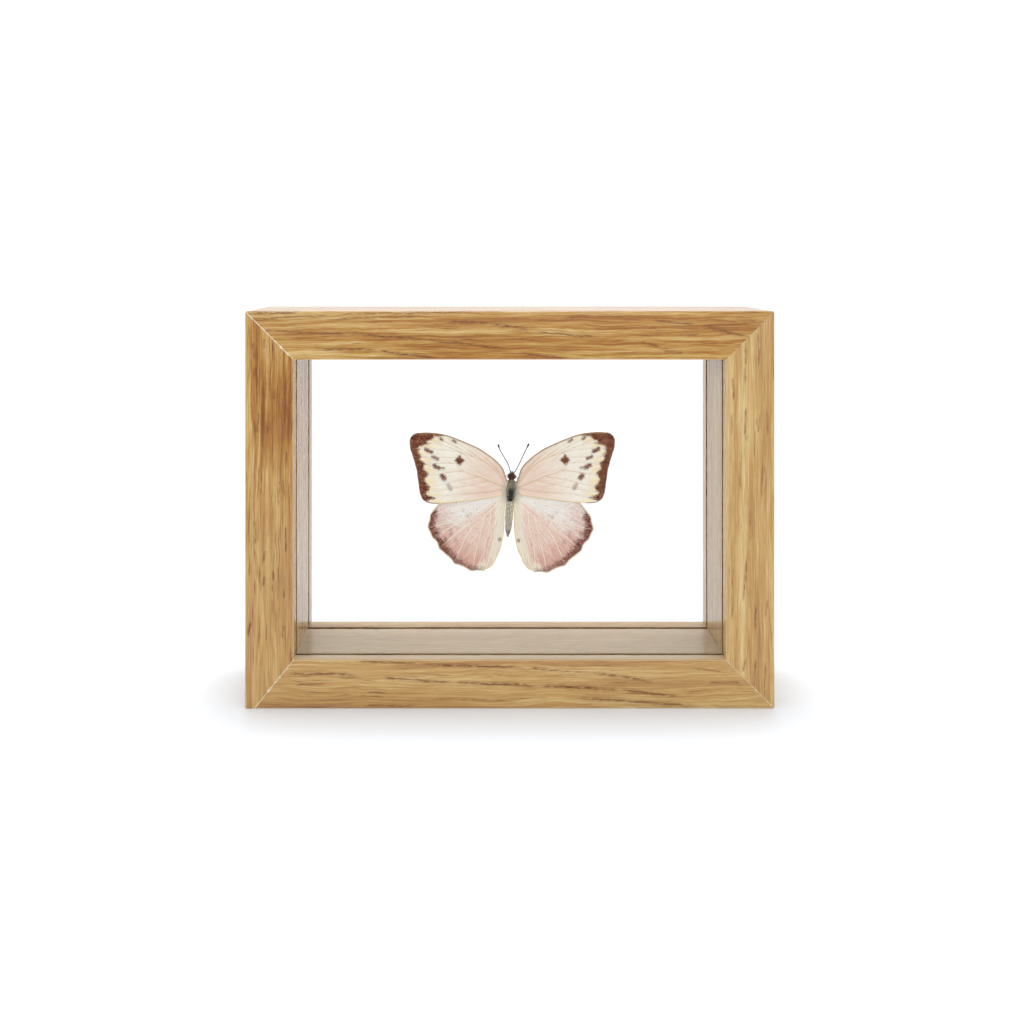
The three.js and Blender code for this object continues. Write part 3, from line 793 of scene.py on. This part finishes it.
# the margin is drawn in a little between the ends of the veins
def scalloped(wing, rim):
    ends = np.array([line[-1] for line in wing["veins"].values()])
    tangent = np.roll(rim, -1, axis=0) - np.roll(rim, 1, axis=0)
    outward = np.stack([-tangent[:, 1], tangent[:, 0]], axis=1)
    outward /= np.linalg.norm(outward, axis=1)[:, None]
    middle = rim.mean(axis=0)
    outward *= np.sign(np.sum(outward * (rim - middle), axis=1))[:, None]
    gap = np.min(np.linalg.norm(rim[:, None] - ends[None], axis=2), axis=1)
    inward = wing["scallop"] * (1 - np.exp(-((gap / 1.3) ** 2)))
    share = np.arange(len(rim)) / len(rim)
    low, high = wing["margin"]
    inward *= np.clip((share - low) / 0.03, 0, 1) * np.clip((high - share) / 0.03, 0, 1)
    return rim - outward * inward[:, None], outward


def wingFields(wing, spots, rim):
    fields = {}
    vein = np.full(len(spots), 9.0)
    for points in wing["veins"].values():
        line = smoothLine(points, each=5)
        off, along = nearLine(line, spots)
        vein = np.minimum(vein, off + 0.05 * along)
    fields["vein"] = vein
    edge = smoothLine(wing["border"], each=3)
    off, share = nearLine(edge, spots)
    within = inside([tuple(p) for p in edge] + wing["beyond"], spots)
    fields["border"] = np.where(within, -off, off)
    spot = np.full(len(spots), 9.0)
    mark = np.zeros(len(spots))
    for points, radius, dark in wing["spots"]:
        off, along = nearLine(np.array(points), spots)
        if len(points) == 1:      # a diamond
            off = np.abs(spots - np.array(points[0])) @ np.array([0.76, 0.7])
        closer = off - radius < spot
        mark = np.where(closer, dark, mark)
        spot = np.minimum(spot, off - radius)
    fields["spot"], fields["mark"] = spot, mark
    low, high = (int(share * len(rim)) for share in wing["margin"])
    fields["rim"] = nearLine(np.vstack([rim, rim[:1]]), spots)[0]
    fields["costa"] = nearLine(rim[:low], spots)[0]
    fields["hem"] = nearLine(rim[high:], spots)[0]
    away = spots - np.array(wing["root"])
    fields["reach"] = np.linalg.norm(away, axis=1)
    fields["ray"] = np.degrees(np.arctan2(away[:, 1], away[:, 0])) * 0.35
    return fields


def addWing(name, wing, material, fringeMaterial):
    count, rings = wingForm["rimSteps"], wingForm["rings"]
    rim = evenly(smoothLine(wing["outline"], True), count, True)
    rim, outward = scalloped(wing, rim)
    middle = rim.mean(axis=0)
    shares = np.linspace(0, 1, rings + 1)[1:]
    spots = np.vstack([middle[None]] + [middle + (rim - middle) * share for share in shares])
    fields = wingFields(wing, spots, rim)
    vein = np.exp(-((fields["vein"] / 0.2) ** 2)) * wingForm["veinHeight"]
    valley = (1 - np.exp(-((fields["vein"] / 1.1) ** 2))) * wingForm["fluting"]
    thick = wingForm["thickness"] / 2 * np.clip(fields.pop("rim") / 0.8, 0.12, 1)
    waves = np.array([noise.noise(Vector((x * 0.16, z * 0.16, wing["side"] * 3))) for x, z in spots]) * 0.16
    waves *= np.clip(fields["reach"] / 8, 0, 1)
    front = settled(wing, spots, valley + waves - thick - vein)
    back = settled(wing, spots, valley + waves + thick + vein)
    rimStart = 1 + (rings - 1) * count
    back = back[:rimStart]          # both faces share the rim
    front[rimStart:, 1] += thick[rimStart:] * mm
    total = len(front)
    at = lambda face, ring, i: (i % count) + 1 + (ring - 1) * count + (total if face and ring < rings else 0)
    faces = []
    for i in range(count):
        for face in (0, 1):
            turned = (face == 1) == (wing["side"] > 0)
            hub = total if face else 0
            loops = [(hub, at(face, 1, i), at(face, 1, i + 1))]
            for ring in range(1, rings):
                inner, outer = ((at(face, r, i), at(face, r, i + 1)) for r in (ring, ring + 1))
                loops.append((inner[0], outer[0], outer[1], inner[1]))
            faces += [loop if turned else loop[::-1] for loop in loops]
    piece = pieceOf(name + "_scales", np.vstack([front, back]), faces)
    for field, values in fields.items():
        keepPoint(field, np.concatenate([values, values[:rimStart]]), piece)
    keepPoint("under", np.concatenate([np.zeros(total), np.ones(rimStart)]), piece)
    smoothFaces(piece)
    piece.data.materials.append(material)
    dress(piece, material, "wing_scales", name)
    addFringe(name, wing, rim, outward, fringeMaterial)


# Hair: each one a thin three-sided blade, bent on its way to its tip

def hairMesh(name, roots, ways, bends, radii, tints):
    roots, ways, bends = (np.asarray(v, float) for v in (roots, ways, bends))
    radii = np.asarray(radii, float)[:, None]
    aside = np.cross(ways, np.where(np.abs(ways[:, :1]) > np.abs(ways[:, 2:]), [[0, 0, 1]], [[1, 0, 0]]))
    aside /= np.maximum(np.linalg.norm(aside, axis=1), 1e-12)[:, None]
    along = ways / np.maximum(np.linalg.norm(ways, axis=1), 1e-12)[:, None]
    third = np.cross(along, aside)
    rings = []
    for share, size in ((0, 1), (0.5, 0.75)):
        centre = roots + ways * share + bends * share**2
        for turn in (0, 2.0944, 4.1888):
            rings.append(centre + (aside * math.cos(turn) + third * math.sin(turn)) * radii * size)
    rings.append(roots + ways + bends)
    points = np.stack(rings, axis=1).reshape(-1, 3)
    faces = []
    for start in range(0, len(points), 7):
        for a, b in ((0, 1), (1, 2), (2, 0)):
            faces.append((start + a, start + b, start + 3 + b, start + 3 + a))
            faces.append((start + 3 + a, start + 3 + b, start + 6))
    piece = pieceOf(name, points * mm, faces)
    keepPoint("tint", np.repeat(tints, 7), piece)
    smoothFaces(piece)
    return piece


def addFringe(name, wing, rim, outward, material):
    draw = np.random.RandomState(41 if "fore" in name else 43)
    low, high = wing["margin"]
    wanted = np.arange(low * len(rim), high * len(rim), 0.16)
    index = np.arange(len(rim))
    roots = np.stack([np.interp(wanted, index, rim[:, i]) for i in (0, 1)], axis=1)
    out = np.stack([np.interp(wanted, index, outward[:, i]) for i in (0, 1)], axis=1)
    roots -= out * 0.12
    skew = draw.normal(0, 0.22, len(roots))[:, None]
    side = np.stack([-out[:, 1], out[:, 0]], axis=1)
    length = (wing["fringe"] + 0.12) * draw.uniform(0.7, 1.1, len(roots))[:, None]
    tips = roots + (out + side * skew) * length
    starts = settled(wing, roots, np.zeros(len(roots))) / mm
    ends = settled(wing, tips, draw.normal(0, 0.05, len(roots))) / mm
    radii, tints = np.full(len(roots), 0.035), draw.uniform(0, 1, len(roots))
    piece = hairMesh(name + "_fringe", starts, ends - starts, np.zeros_like(starts), radii, tints)
    dress(piece, material, "wing_scales")


fringeColours = {
    "forewing": [(0, (92, 48, 38)), (0.6, (120, 74, 56)), (1, (190, 160, 122))],
    "hindwing": [(0, (206, 180, 130)), (0.5, (236, 218, 174)), (1, (246, 234, 204))],
}
# a wing's colours; its fold colour is painted shade beside the veins, where the skin folds
wingColours = {
    "forewing": {
        "pink": (240, 206, 186), "white": (253, 249, 234), "cream": (255, 238, 184), "vein": (206, 168, 92),
        "foldShade": (212, 166, 140), "darkest": (62, 16, 4), "brown": (108, 50, 26), "palest": (172, 120, 88),
        "costa": (172, 134, 88), "hem": (250, 228, 172), "dots": (220, 178, 168),
    },
    "hindwing": {
        "pink": (249, 220, 200), "white": (249, 249, 244), "cream": (244, 240, 216), "vein": (255, 247, 222),
        "foldShade": (220, 180, 168), "darkest": (62, 20, 12), "brown": (112, 56, 42), "palest": (190, 136, 122),
        "costa": (240, 224, 190), "hem": (250, 228, 172), "dots": (204, 136, 122),
    },
}


def wingMaterial(name, fore):
    colours = {key: screen(*value) for key, value in wingColours[name].items()}
    material, shade = newMaterial(name + "_scales")
    x, y, z = places(shade)
    vein, border, spot, mark = (field(shade, key) for key in ("vein", "border", "spot", "mark"))
    costa, hem, reach, ray, under = (field(shade, key) for key in ("costa", "hem", "reach", "ray", "under"))
    here = vector(x, y, z)
    speckle = grain(here, 3.4, 2, 0.6)
    scales = grain(here, 9, 1)
    patch = grain(here, 0.3, 2)
    rays = grain(vector(reach / 3.2, ray * 2.4, 0), 1, 3, 0.6)
    fineRays = grain(vector(reach / 7, ray * 4, 1), 1, 2, 0.6)
    loose = (rays - 0.5) * 7 + (patch - 0.5) * 7
    if fore:
        pink = step(reach + loose, 24, 7)
        ground = mixed(pink * 0.9, colours["white"], colours["pink"])
        blots = step(border + (patch - 0.5) * 3, 3.4, 1) * step(vein, 0.2, 0.9)
        ground = mixed(blots * 0.9, ground, colours["cream"])
        thick = 0.13
    else:
        pink = step(ray + loose * 0.5, -7, -15)
        near = step(border + loose * 0.5, 9, 0.5)
        ground = mixed(pink * 0.9, colours["white"], colours["pink"])
        ground = mixed(near * pink * 0.6, ground, screen(228, 156, 130))
        ground = mixed(step(scales, 0.5, 0.66) * near * 0.5, ground, screen(252, 226, 170))
        inner = step(hem + (rays - 0.5) * 2, 4.2, 2.4)
        ground = mixed(inner * 0.85, ground, colours["cream"])
        crowd = speckle + near * 0.15 + pink * 0.05 - inner * 0.2
        ground = mixed(step(crowd, 0.54, 0.64) * 0.7, ground, colours["dots"])
        thick = 0.26
    # rows of scales, paler and darker, run out from the root, and painted shade of the skin's folds lies
    # beside the veins
    ground = mixed(step(rays, 0.42, 0.66) * 0.3, ground, colours["pink"])
    ground = mixed(step(fineRays, 0.46, 0.62) * (0.5 if fore else 0.3), ground, colours["white"])
    ground = mixed(step(fineRays, 0.45, 0.36) * (0.3 + pink * 0.3), ground, colours["dots"])
    ground = mixed(step(scales, 0.4, 0.7) * 0.2, ground, colours["white"])
    # painted shade beside the veins, where the skin folds
    ground = mixed(step(vein, 0.6, 0.15) * (0.08 + pink * 0.14), ground, colours["foldShade"])
    tone = speckle * 0.65 + rays * 0.35
    brownMix = ramp(tone, [(0.38, wingColours[name]["darkest"]), (0.48, wingColours[name]["brown"]),
                           (0.62, wingColours[name]["palest"])])
    if fore:
        edge = border + (rays - 0.5) * 0.9 + (speckle - 0.5) * 2.4
        brown = step(edge, 0.4, -0.6)
    else:
        lunule = (grain(here, 0.9, 2) - 0.5) * 3.5
        outer = step(ray, -24, -11)
        edge = border + lunule + (speckle - 0.5) * 4 + 0.7 - outer * 0.7
        brown = step(edge, 1.3, -1) * (0.75 + outer * 0.25)
    ragged = spot + (speckle - 0.5) * 2.4 + (rays - 0.5) * 0.6
    spots = step(ragged, 0.5, -0.35) * mark
    lines = step(vein, thick, 0.06)
    ground = mixed(lines * (0.75 if fore else 0.9), ground, colours["vein"])
    top = mixed(spots, ground, brownMix)
    top = mixed(brown * (1 - lines * 0.3), top, brownMix)
    top = mixed(step(costa, 0.75, 0.3) * (0.8 if fore else 0.35), top, colours["costa"])
    top = mixed(step(hem, 0.55, 0.25) * 0.85, top, colours["hem"])
    # the underside is plainer: straw yellow with faint brown marks
    plain = mixed((speckle - 0.3) * 1.2, screen(236, 222, 178), screen(224, 196, 150))
    plain = mixed(brown * 0.35 + spots * 0.6, plain, screen(168, 116, 92))
    plain = mixed(lines * 0.5, plain, screen(238, 222, 176))
    colour = mixed(under, top, plain)
    height = scales * 0.5 + rays * 0.8 + speckle * 0.3
    surface(shade, Base_Color=colour, Roughness=0.62 + speckle * 0.2, Normal=bump(height, 0.4, 0.06),
            Specular_IOR_Level=0.12)
    return material


def hairMaterial(name, stops, rough=0.6):
    material, shade = newMaterial(name)
    tint = field(shade, "tint")
    x, y, z = places(shade)
    spread = tint + (grain(vector(x, y, z), 2.5, 2) - 0.5) * 0.3
    colour = ramp(spread, stops)
    surface(shade, Base_Color=colour, Roughness=rough, Specular_IOR_Level=0.2)
    return material


def addWings():
    fore, hind = wingMaterial("forewing", True), wingMaterial("hindwing", False)
    foreFringe, hindFringe = (hairMaterial(kind + "_fringe", stops) for kind, stops in fringeColours.items())
    for name, wing in wings.items():
        addWing(name, wing, *((fore, foreFringe) if "fore" in name else (hind, hindFringe)))
        print("wing", name)


# Body

bodyForm = {
    "profile": [   # radius, and distance along the axis from the thorax's middle
        (0, -18), (0.45, -17.4), (0.85, -15.6), (1.15, -12.6), (1.35, -8.6), (1.3, -5.6), (1.15, -4.5),
        (1.6, -3.7), (1.95, -1.8), (2.05, 0.3), (1.75, 2.2), (0.95, 3.3), (1.15, 3.8), (1.2, 4.6),
        (0.9, 5.4), (0.4, 5.75), (0, 5.8),
    ],
    "deeper": 1.15,
    "flat": 2.2,
    "flatSpan": (-2.6, 1.2),
    "waist": -4.5,
    "segment": 1.65,
    "crease": 0.09,
}
barePatch = {"half": 0.95, "low": -4.4, "high": 0.6}
legs = [
    [(0.8, 1.2, 1.6), (2.3, 1.9, 2.6), (1.9, 2.3, 4), (0.7, 2.4, 5)],
    [(1.1, 1.2, 0.8), (3.2, 1.9, 0.5), (4.4, 2.3, -1), (4.7, 2.4, -4.6)],
    [(1, 1.2, -2.2), (2.7, 1.9, -3.6), (3.2, 2.2, -7.4), (3.7, 2.4, -11.2)],
]
antennae = [
    [(-0.3, -0.4, 5.2), (-1.6, -0.9, 8.9), (-3.3, -1.2, 11.6), (-4.8, -1.4, 13.9), (-5.8, -1.5, 16.2)],
    [(0.4, -0.4, 5.2), (1.7, -0.9, 7.7), (2.8, -1.2, 10.4), (3.8, -1.4, 13.1), (5.5, -1.5, 17.2)],
]


# a direction in the body's own frame, its axis along z, as the leaning body has it
def turnedWay(ways):
    lean = math.radians(butterfly["lean"])
    x, y, z = np.asarray(ways, float).T
    across, up = x * math.cos(lean) + z * math.sin(lean), z * math.cos(lean) - x * math.sin(lean)
    return np.stack([across, y, up], axis=1)


# from the body's own frame to the object's, in millimetres
def onBody(spots):
    return turnedWay(spots) + np.array([butterfly["shift"], 0, 0]) + np.array(butterfly["place"])


def bodyRadius(along):
    line = smoothLine(bodyForm["profile"], each=8)
    return np.maximum(np.interp(along, line[:, 1], line[:, 0]), 0)


def addTorso():
    deselectAll()
    bpy.ops.mesh.primitive_uv_sphere_add(segments=72, ring_count=150, radius=1)
    piece = startPiece("body_torso")
    spots = np.array([v.co for v in piece.data.vertices])
    share = np.arccos(np.clip(spots[:, 2], -1, 1)) / math.pi
    end, start = bodyForm["profile"][0][1], bodyForm["profile"][-1][1]
    along = start - share * (start - end)
    radius = bodyRadius(along)
    tail = bodyForm["waist"] - along
    ring = (tail / bodyForm["segment"]) % 1
    crease = bodyForm["crease"] * np.exp(-((ring / 0.12) ** 2)) * np.clip(radius, 0, 1)
    radius -= np.where(tail > 0, crease, 0)
    turn = np.arctan2(spots[:, 1], spots[:, 0])
    # the wings' muscles bulge the thorax's back in two long swellings
    back = np.clip(-np.sin(turn), 0, 1)
    swell = 1 + 0.05 * np.cos(2 * turn + math.pi) * np.exp(-((along + 0.5) / 2.4) ** 2)
    x = radius * np.cos(turn) * swell
    y = radius * np.sin(turn) * bodyForm["deeper"] * swell
    low, high = bodyForm["flatSpan"]
    y = np.where((along > low) & (along < high), np.minimum(y, bodyForm["flat"]), y)
    placed = onBody(np.stack([x, y, along], axis=1)) * mm
    piece.data.vertices.foreach_set("co", placed.astype(np.float32).ravel())
    piece.data.update()
    keepPoint("along", along, piece)
    keepPoint("side", x, piece)
    keepPoint("back", back, piece)
    smoothFaces(piece)
    dress(piece, torsoMaterial(), "insect_body", "body")


def torsoMaterial():
    material, shade = newMaterial("torso_skin")
    along, side, back = (field(shade, key) for key in ("along", "side", "back"))
    x, y, z = places(shade)
    here = vector(x, y, z)
    speck = grain(here, 2.2, 3, 0.6)
    fine = grain(here, 8, 2)
    tail = mixed(step(speck, 0.38, 0.62), screen(150, 142, 118), screen(250, 244, 228))
    tail = mixed(step(abs(side), 0.5, 0.1) * back * 0.35, tail, screen(96, 98, 84))
    tail = mixed(step(along, -14.2, -15.2) * step(along, -16.6, -16.0) * 0.7, tail, screen(70, 58, 52))
    chest = mixed(step(speck, 0.3, 0.7), screen(44, 40, 32), screen(176, 168, 142))
    # the bald patch on the thorax's back
    bare = step(abs(side) + (speck - 0.5) * 0.5, 1.15, 0.9)
    bare = bare * step(along, -4.9, -4.3) * step(along, 0.9, 0.4) * back
    chest = mixed(bare, chest, screen(12, 11, 10))
    head = mixed(step(fine, 0.4, 0.6), screen(44, 14, 10), screen(104, 44, 22))
    colour = mixed(step(along, -4.0, -4.8), chest, tail)
    colour = mixed(step(along, 3.2, 3.5), colour, head)
    rough = 0.75 - bare * 0.5
    surface(shade, Base_Color=colour, Roughness=rough, Normal=bump(fine * 0.6 + speck, 0.5, 0.08),
            Specular_IOR_Level=0.25)
    return material


# a tube along a smooth path, its thickness changing on the way
def addTube(name, points, radii, sides, count):
    line = evenly(smoothLine(points, each=12), count)
    size = np.interp(np.linspace(0, 1, count), np.linspace(0, 1, len(radii)), radii)
    deselectAll()
    curve = bpy.data.curves.new(name, "CURVE")
    curve.dimensions = "3D"
    curve.bevel_depth = mm
    curve.bevel_resolution = sides
    curve.use_fill_caps = True
    spline = curve.splines.new("POLY")
    spline.points.add(count - 1)
    for point, place, radius in zip(spline.points, line, size):
        point.co = (*(place * mm), 1)
        point.radius = radius
    made = bpy.data.objects.new(name, curve)
    bpy.context.scene.collection.objects.link(made)
    bpy.context.view_layer.objects.active = made
    made.select_set(True)
    bpy.ops.object.convert(target="MESH")
    made = bpy.context.object
    smoothFaces(made)
    return made


def joined(name, pieces):
    deselectAll()
    for piece in pieces:
        piece.select_set(True)
    bpy.context.view_layer.objects.active = pieces[0]
    bpy.ops.object.join()
    made = bpy.context.object
    made.name = name
    made.data.name = name
    return made


def chitinMaterial(name, dark, pale, scale, rough):
    material, shade = newMaterial(name)
    x, y, z = places(shade)
    speck = grain(vector(x, y, z), scale, 2)
    colour = mixed(step(speck, 0.35, 0.65), screen(*dark), screen(*pale))
    surface(shade, Base_Color=colour, Roughness=rough + speck * 0.15, Normal=bump(speck, 0.4, 0.04))
    return material


def addLegs():
    parts = []
    for points in legs:
        for side in (-1, 1):
            path = onBody([(side * x, y, z) for x, y, z in points])
            parts.append(addTube("leg", path, [0.24, 0.2, 0.16, 0.15, 0.1, 0.09, 0.07], 3, 40))
    skin = chitinMaterial("leg_chitin", (92, 74, 56), (168, 150, 118), 5, 0.5)
    dress(joined("legs", parts), skin, "insect_body")


def addAntennae():
    parts = []
    for points in antennae:
        line = onBody(points)
        rings = [0.16 + 0.008 * (i % 2) for i in range(70)]
        club = [0.18, 0.2, 0.23, 0.26, 0.29, 0.31, 0.32, 0.32, 0.3, 0.27, 0.2, 0.06]
        parts.append(addTube("antenna", line, rings + club, 4, 164))
    piece = joined("antennae", parts)
    material, shade = newMaterial("antenna_scales")
    x, y, z = places(shade)
    ringing = grain(vector(x, y, z), 5, 2)
    shaft = mixed(ringing, screen(44, 36, 34), screen(92, 80, 74))
    colour = mixed(step(z, 82.6, 84.6), shaft, screen(66, 14, 8))
    surface(shade, Base_Color=colour, Roughness=0.5, Normal=bump(ringing, 0.4, 0.03))
    dress(piece, material, "insect_body")


def addBall(name, place, sizes, segments):
    deselectAll()
    bpy.ops.mesh.primitive_uv_sphere_add(segments=segments, ring_count=segments * 2 // 3, radius=1)
    made = startPiece(name)
    spots = np.array([v.co for v in made.data.vertices]) * np.array(sizes) + np.array(place)
    made.data.vertices.foreach_set("co", (onBody(spots) * mm).astype(np.float32).ravel())
    made.data.update()
    smoothFaces(made)
    return made


# a pair on the head: the right one's place, its half sizes, its steps round, and its skin
head = {
    "eyes": ("eye", (0.95, -0.25, 4.45), (0.66, 0.74, 0.82), 36,
             ("eye_lens", (34, 14, 12), (66, 30, 22), 9, 0.15)),
    "palps": ("palp", (0.34, 0.2, 5.7), (0.3, 0.34, 0.75), 20,
              ("palp_scales", (92, 58, 42), (170, 130, 96), 6, 0.7)),
}


def addHead():
    for pair, (name, (x, y, z), sizes, segments, skin) in head.items():
        balls = [addBall(name, (side * x, y, z), sizes, segments) for side in (-1, 1)]
        dress(joined(pair, balls), chitinMaterial(*skin), "insect_body")


# coats of hair on the body: how many, the heights between which they stand, the side of the body in
# degrees from its back, their lengths, how far they stand out and up, how much they stray, their radius,
# and their tint, from dark to pale
coats = [
    (1500, (-4.4, 3.0), (20, 80), (0.4, 1.1), (0.3, -0.9), 0.3, 0.034, (0.05, 1)),
    (700, (-4.4, 3.0), (70, 110), (0.4, 0.9), (0.3, -0.8), 0.25, 0.026, (0.5, 1)),
    (700, (0.6, 3.3), (0, 80), (0.5, 1.1), (0.35, -0.8), 0.35, 0.032, (0.05, 0.9)),
    (1300, (-4.4, 3.2), (100, 180), (0.5, 1.1), (0.6, -0.7), 0.3, 0.028, (0.6, 1)),
    (2200, (-15, -4.4), (0, 180), (0.35, 0.9), (0.25, -0.95), 0.22, 0.028, (0.35, 1.15)),
    (500, (3.6, 5.5), (0, 180), (0.25, 0.5), (0.7, 0.4), 0.3, 0.022, (0, 0.2)),
]
rootHair = {"count": 180, "length": (0.8, 2.6), "radius": 0.034, "tint": (0.8, 1.15)}
furColours = [(0, (46, 34, 26)), (0.18, (82, 78, 62)), (0.42, (142, 138, 116)), (0.65, (200, 192, 166)),
              (0.8, (244, 236, 210)), (1, (255, 251, 238))]


def bodyHair(draw, count, span, turns, length, lay, spread, radius, tint):
    along = draw.uniform(*span, count)
    turn = np.radians(draw.uniform(*turns, count)) * np.where(draw.uniform(0, 1, count) < 0.5, -1, 1)
    size = bodyRadius(along) * 0.96
    roots = np.stack([size * np.sin(turn), -size * np.cos(turn) * bodyForm["deeper"], along], axis=1)
    outward = np.stack([np.sin(turn), -np.cos(turn), np.zeros(count)], axis=1)
    way = outward * lay[0] + np.array([0, 0, lay[1]]) + draw.normal(0, spread, (count, 3))
    way /= np.linalg.norm(way, axis=1)[:, None]
    far = draw.uniform(*length, count)[:, None]
    bend = np.stack([np.zeros(count), np.zeros(count), -0.25 * far[:, 0]], axis=1)
    bare = (np.abs(roots[:, 0]) < barePatch["half"]) & (roots[:, 1] < 0) & (along < barePatch["high"])
    bare &= along > barePatch["low"]
    keep = ~bare | (draw.uniform(0, 1, count) < 0.03)
    tints = draw.uniform(*tint, count)
    return [part[keep] for part in (roots, way * far, bend, np.full(count, radius), tints)]


# long pale hair from the thorax's sides out over the roots of the wings
def wingRootHair(draw, side):
    count = rootHair["count"]
    along = draw.uniform(-4.2, 2.6, count)
    size = bodyRadius(along) * 0.9
    depth = -draw.uniform(1.3, 1.75, count)
    roots = np.stack([side * size * 0.9, depth, along], axis=1)
    fan = np.radians(draw.normal(-8, 24, count) + along * 6)
    way = np.stack([side * np.cos(fan), draw.normal(-0.06, 0.05, count), np.sin(fan)], axis=1)
    far = draw.uniform(*rootHair["length"], count)[:, None]
    bend = np.stack([np.zeros(count), np.zeros(count), -0.2 * far[:, 0]], axis=1)
    radii, tints = np.full(count, rootHair["radius"]), draw.uniform(*rootHair["tint"], count)
    return [roots, way * far, bend, radii, tints]


def addHair():
    draw = np.random.RandomState(17)
    parts = [bodyHair(draw, *coat) for coat in coats]
    parts += [wingRootHair(draw, side) for side in (-1, 1)]
    roots, ways, bends, radii, tints = (np.concatenate(group) for group in zip(*parts))
    piece = hairMesh("body_hair", onBody(roots), turnedWay(ways), turnedWay(bends), radii, tints)
    dress(piece, hairMaterial("body_fur", furColours), "insect_body")


# Build

addCamera()
lightRoom()
addLamp()
addFloor()
print("studio ready")
for name, rail in rails.items():
    addRail(name, rail)
    print("rail", name)
clear = clearMaterial("pane_glass", (1, 1, 1, 1), 0.0, panes["ior"], panes["gloss"])
for name in ("front_glass", "back_glass"):
    addPane(name, clear)
addDab()
print("glass ready")
addWings()
addTorso()
addLegs()
addAntennae()
addHead()
addHair()
print("butterfly ready")
